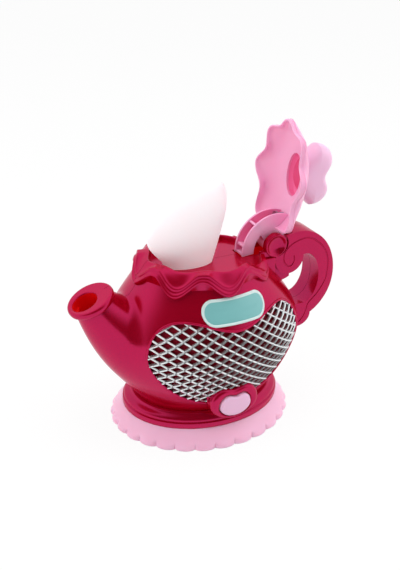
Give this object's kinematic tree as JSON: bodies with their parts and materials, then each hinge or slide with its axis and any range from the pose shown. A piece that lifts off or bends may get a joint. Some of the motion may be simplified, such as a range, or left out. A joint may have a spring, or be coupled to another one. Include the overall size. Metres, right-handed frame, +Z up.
{
  "type": "toy teapot",
  "caption": "Toy teapot with spout, scroll handle and sprung heart button; its frilled lid swings open on a rear hinge above a soft steam plume.",
  "frame": {"origin": "centre of the base's underside, on the table", "axes": "+X towards the handle, -X towards the spout, -Y towards the grille and the button, +Z up"},
  "size_m": [0.1926, 0.1098, 0.208],
  "materials": {
    "crimson_plastic": "glossy injection moulding",
    "rose_plastic": "satin injection moulding",
    "lilac_plastic": "satin injection moulding",
    "blush_plastic": "satin, slightly translucent",
    "frosted_vinyl": "matte, soft",
    "metallised_plastic": "vacuum metallised",
    "dark_red_plastic": "matte",
    "teal_plastic": "smooth, with a pale border",
    "steel": "zinc plated",
    "black_plastic": "matte",
    "board_green": "solder mask",
    "lamp_clear": "clear epoxy",
    "cell_jacket": "plain jacket"
  },
  "bodies": {
    "pot": {"plinth": "crimson_plastic", "body_front": "crimson_plastic", "body_back": "crimson_plastic", "handle_front": "crimson_plastic", "handle_back": "crimson_plastic", "hinge_ear_front": "crimson_plastic", "hinge_ear_back": "crimson_plastic", "plume_retainer": "crimson_plastic", "button_bezel": "crimson_plastic", "saucer": "blush_plastic", "battery_door": "blush_plastic", "steam_plume": "frosted_vinyl", "grille": "metallised_plastic", "grille_backing": "dark_red_plastic", "plaque": "teal_plastic", "hinge_pin": "steel", "retainer_screws": "steel", "button_spring": "steel", "board_screws": "steel", "speaker_magnet": "steel", "speaker_screws": "steel", "battery_contacts": "steel", "door_screw": "steel", "base_screws": "steel", "plinth_screws": "steel", "shell_screws": "steel", "handle_screws": "steel", "press_switch": "black_plastic", "speaker_frame": "black_plastic", "battery_box": "black_plastic", "circuit_board": "board_green", "lamps": "lamp_clear", "batteries": "cell_jacket"},
    "lid_body": {"lid": "rose_plastic", "lid_arm": "rose_plastic", "lid_knob": "lilac_plastic", "arm_screw": "steel"},
    "button_body": {"heart_button": "lilac_plastic"}
  },
  "joints": [
    {"name": "lid_hinge", "type": "hinge", "parent": "pot", "child": "lid_body", "pos_m": [0.0505, 0, 0.122], "axis": [0, -1, 0], "range_deg": [0, 95], "deforming": ["steam_plume"]},
    {"name": "button_press", "type": "slide", "parent": "pot", "child": "button_body", "axis": [0, 1, 0], "range_m": [0, 0.0025], "stiffness_N_per_m": 400, "springref_m": -0.002, "deforming": ["button_spring"]}
  ]
}
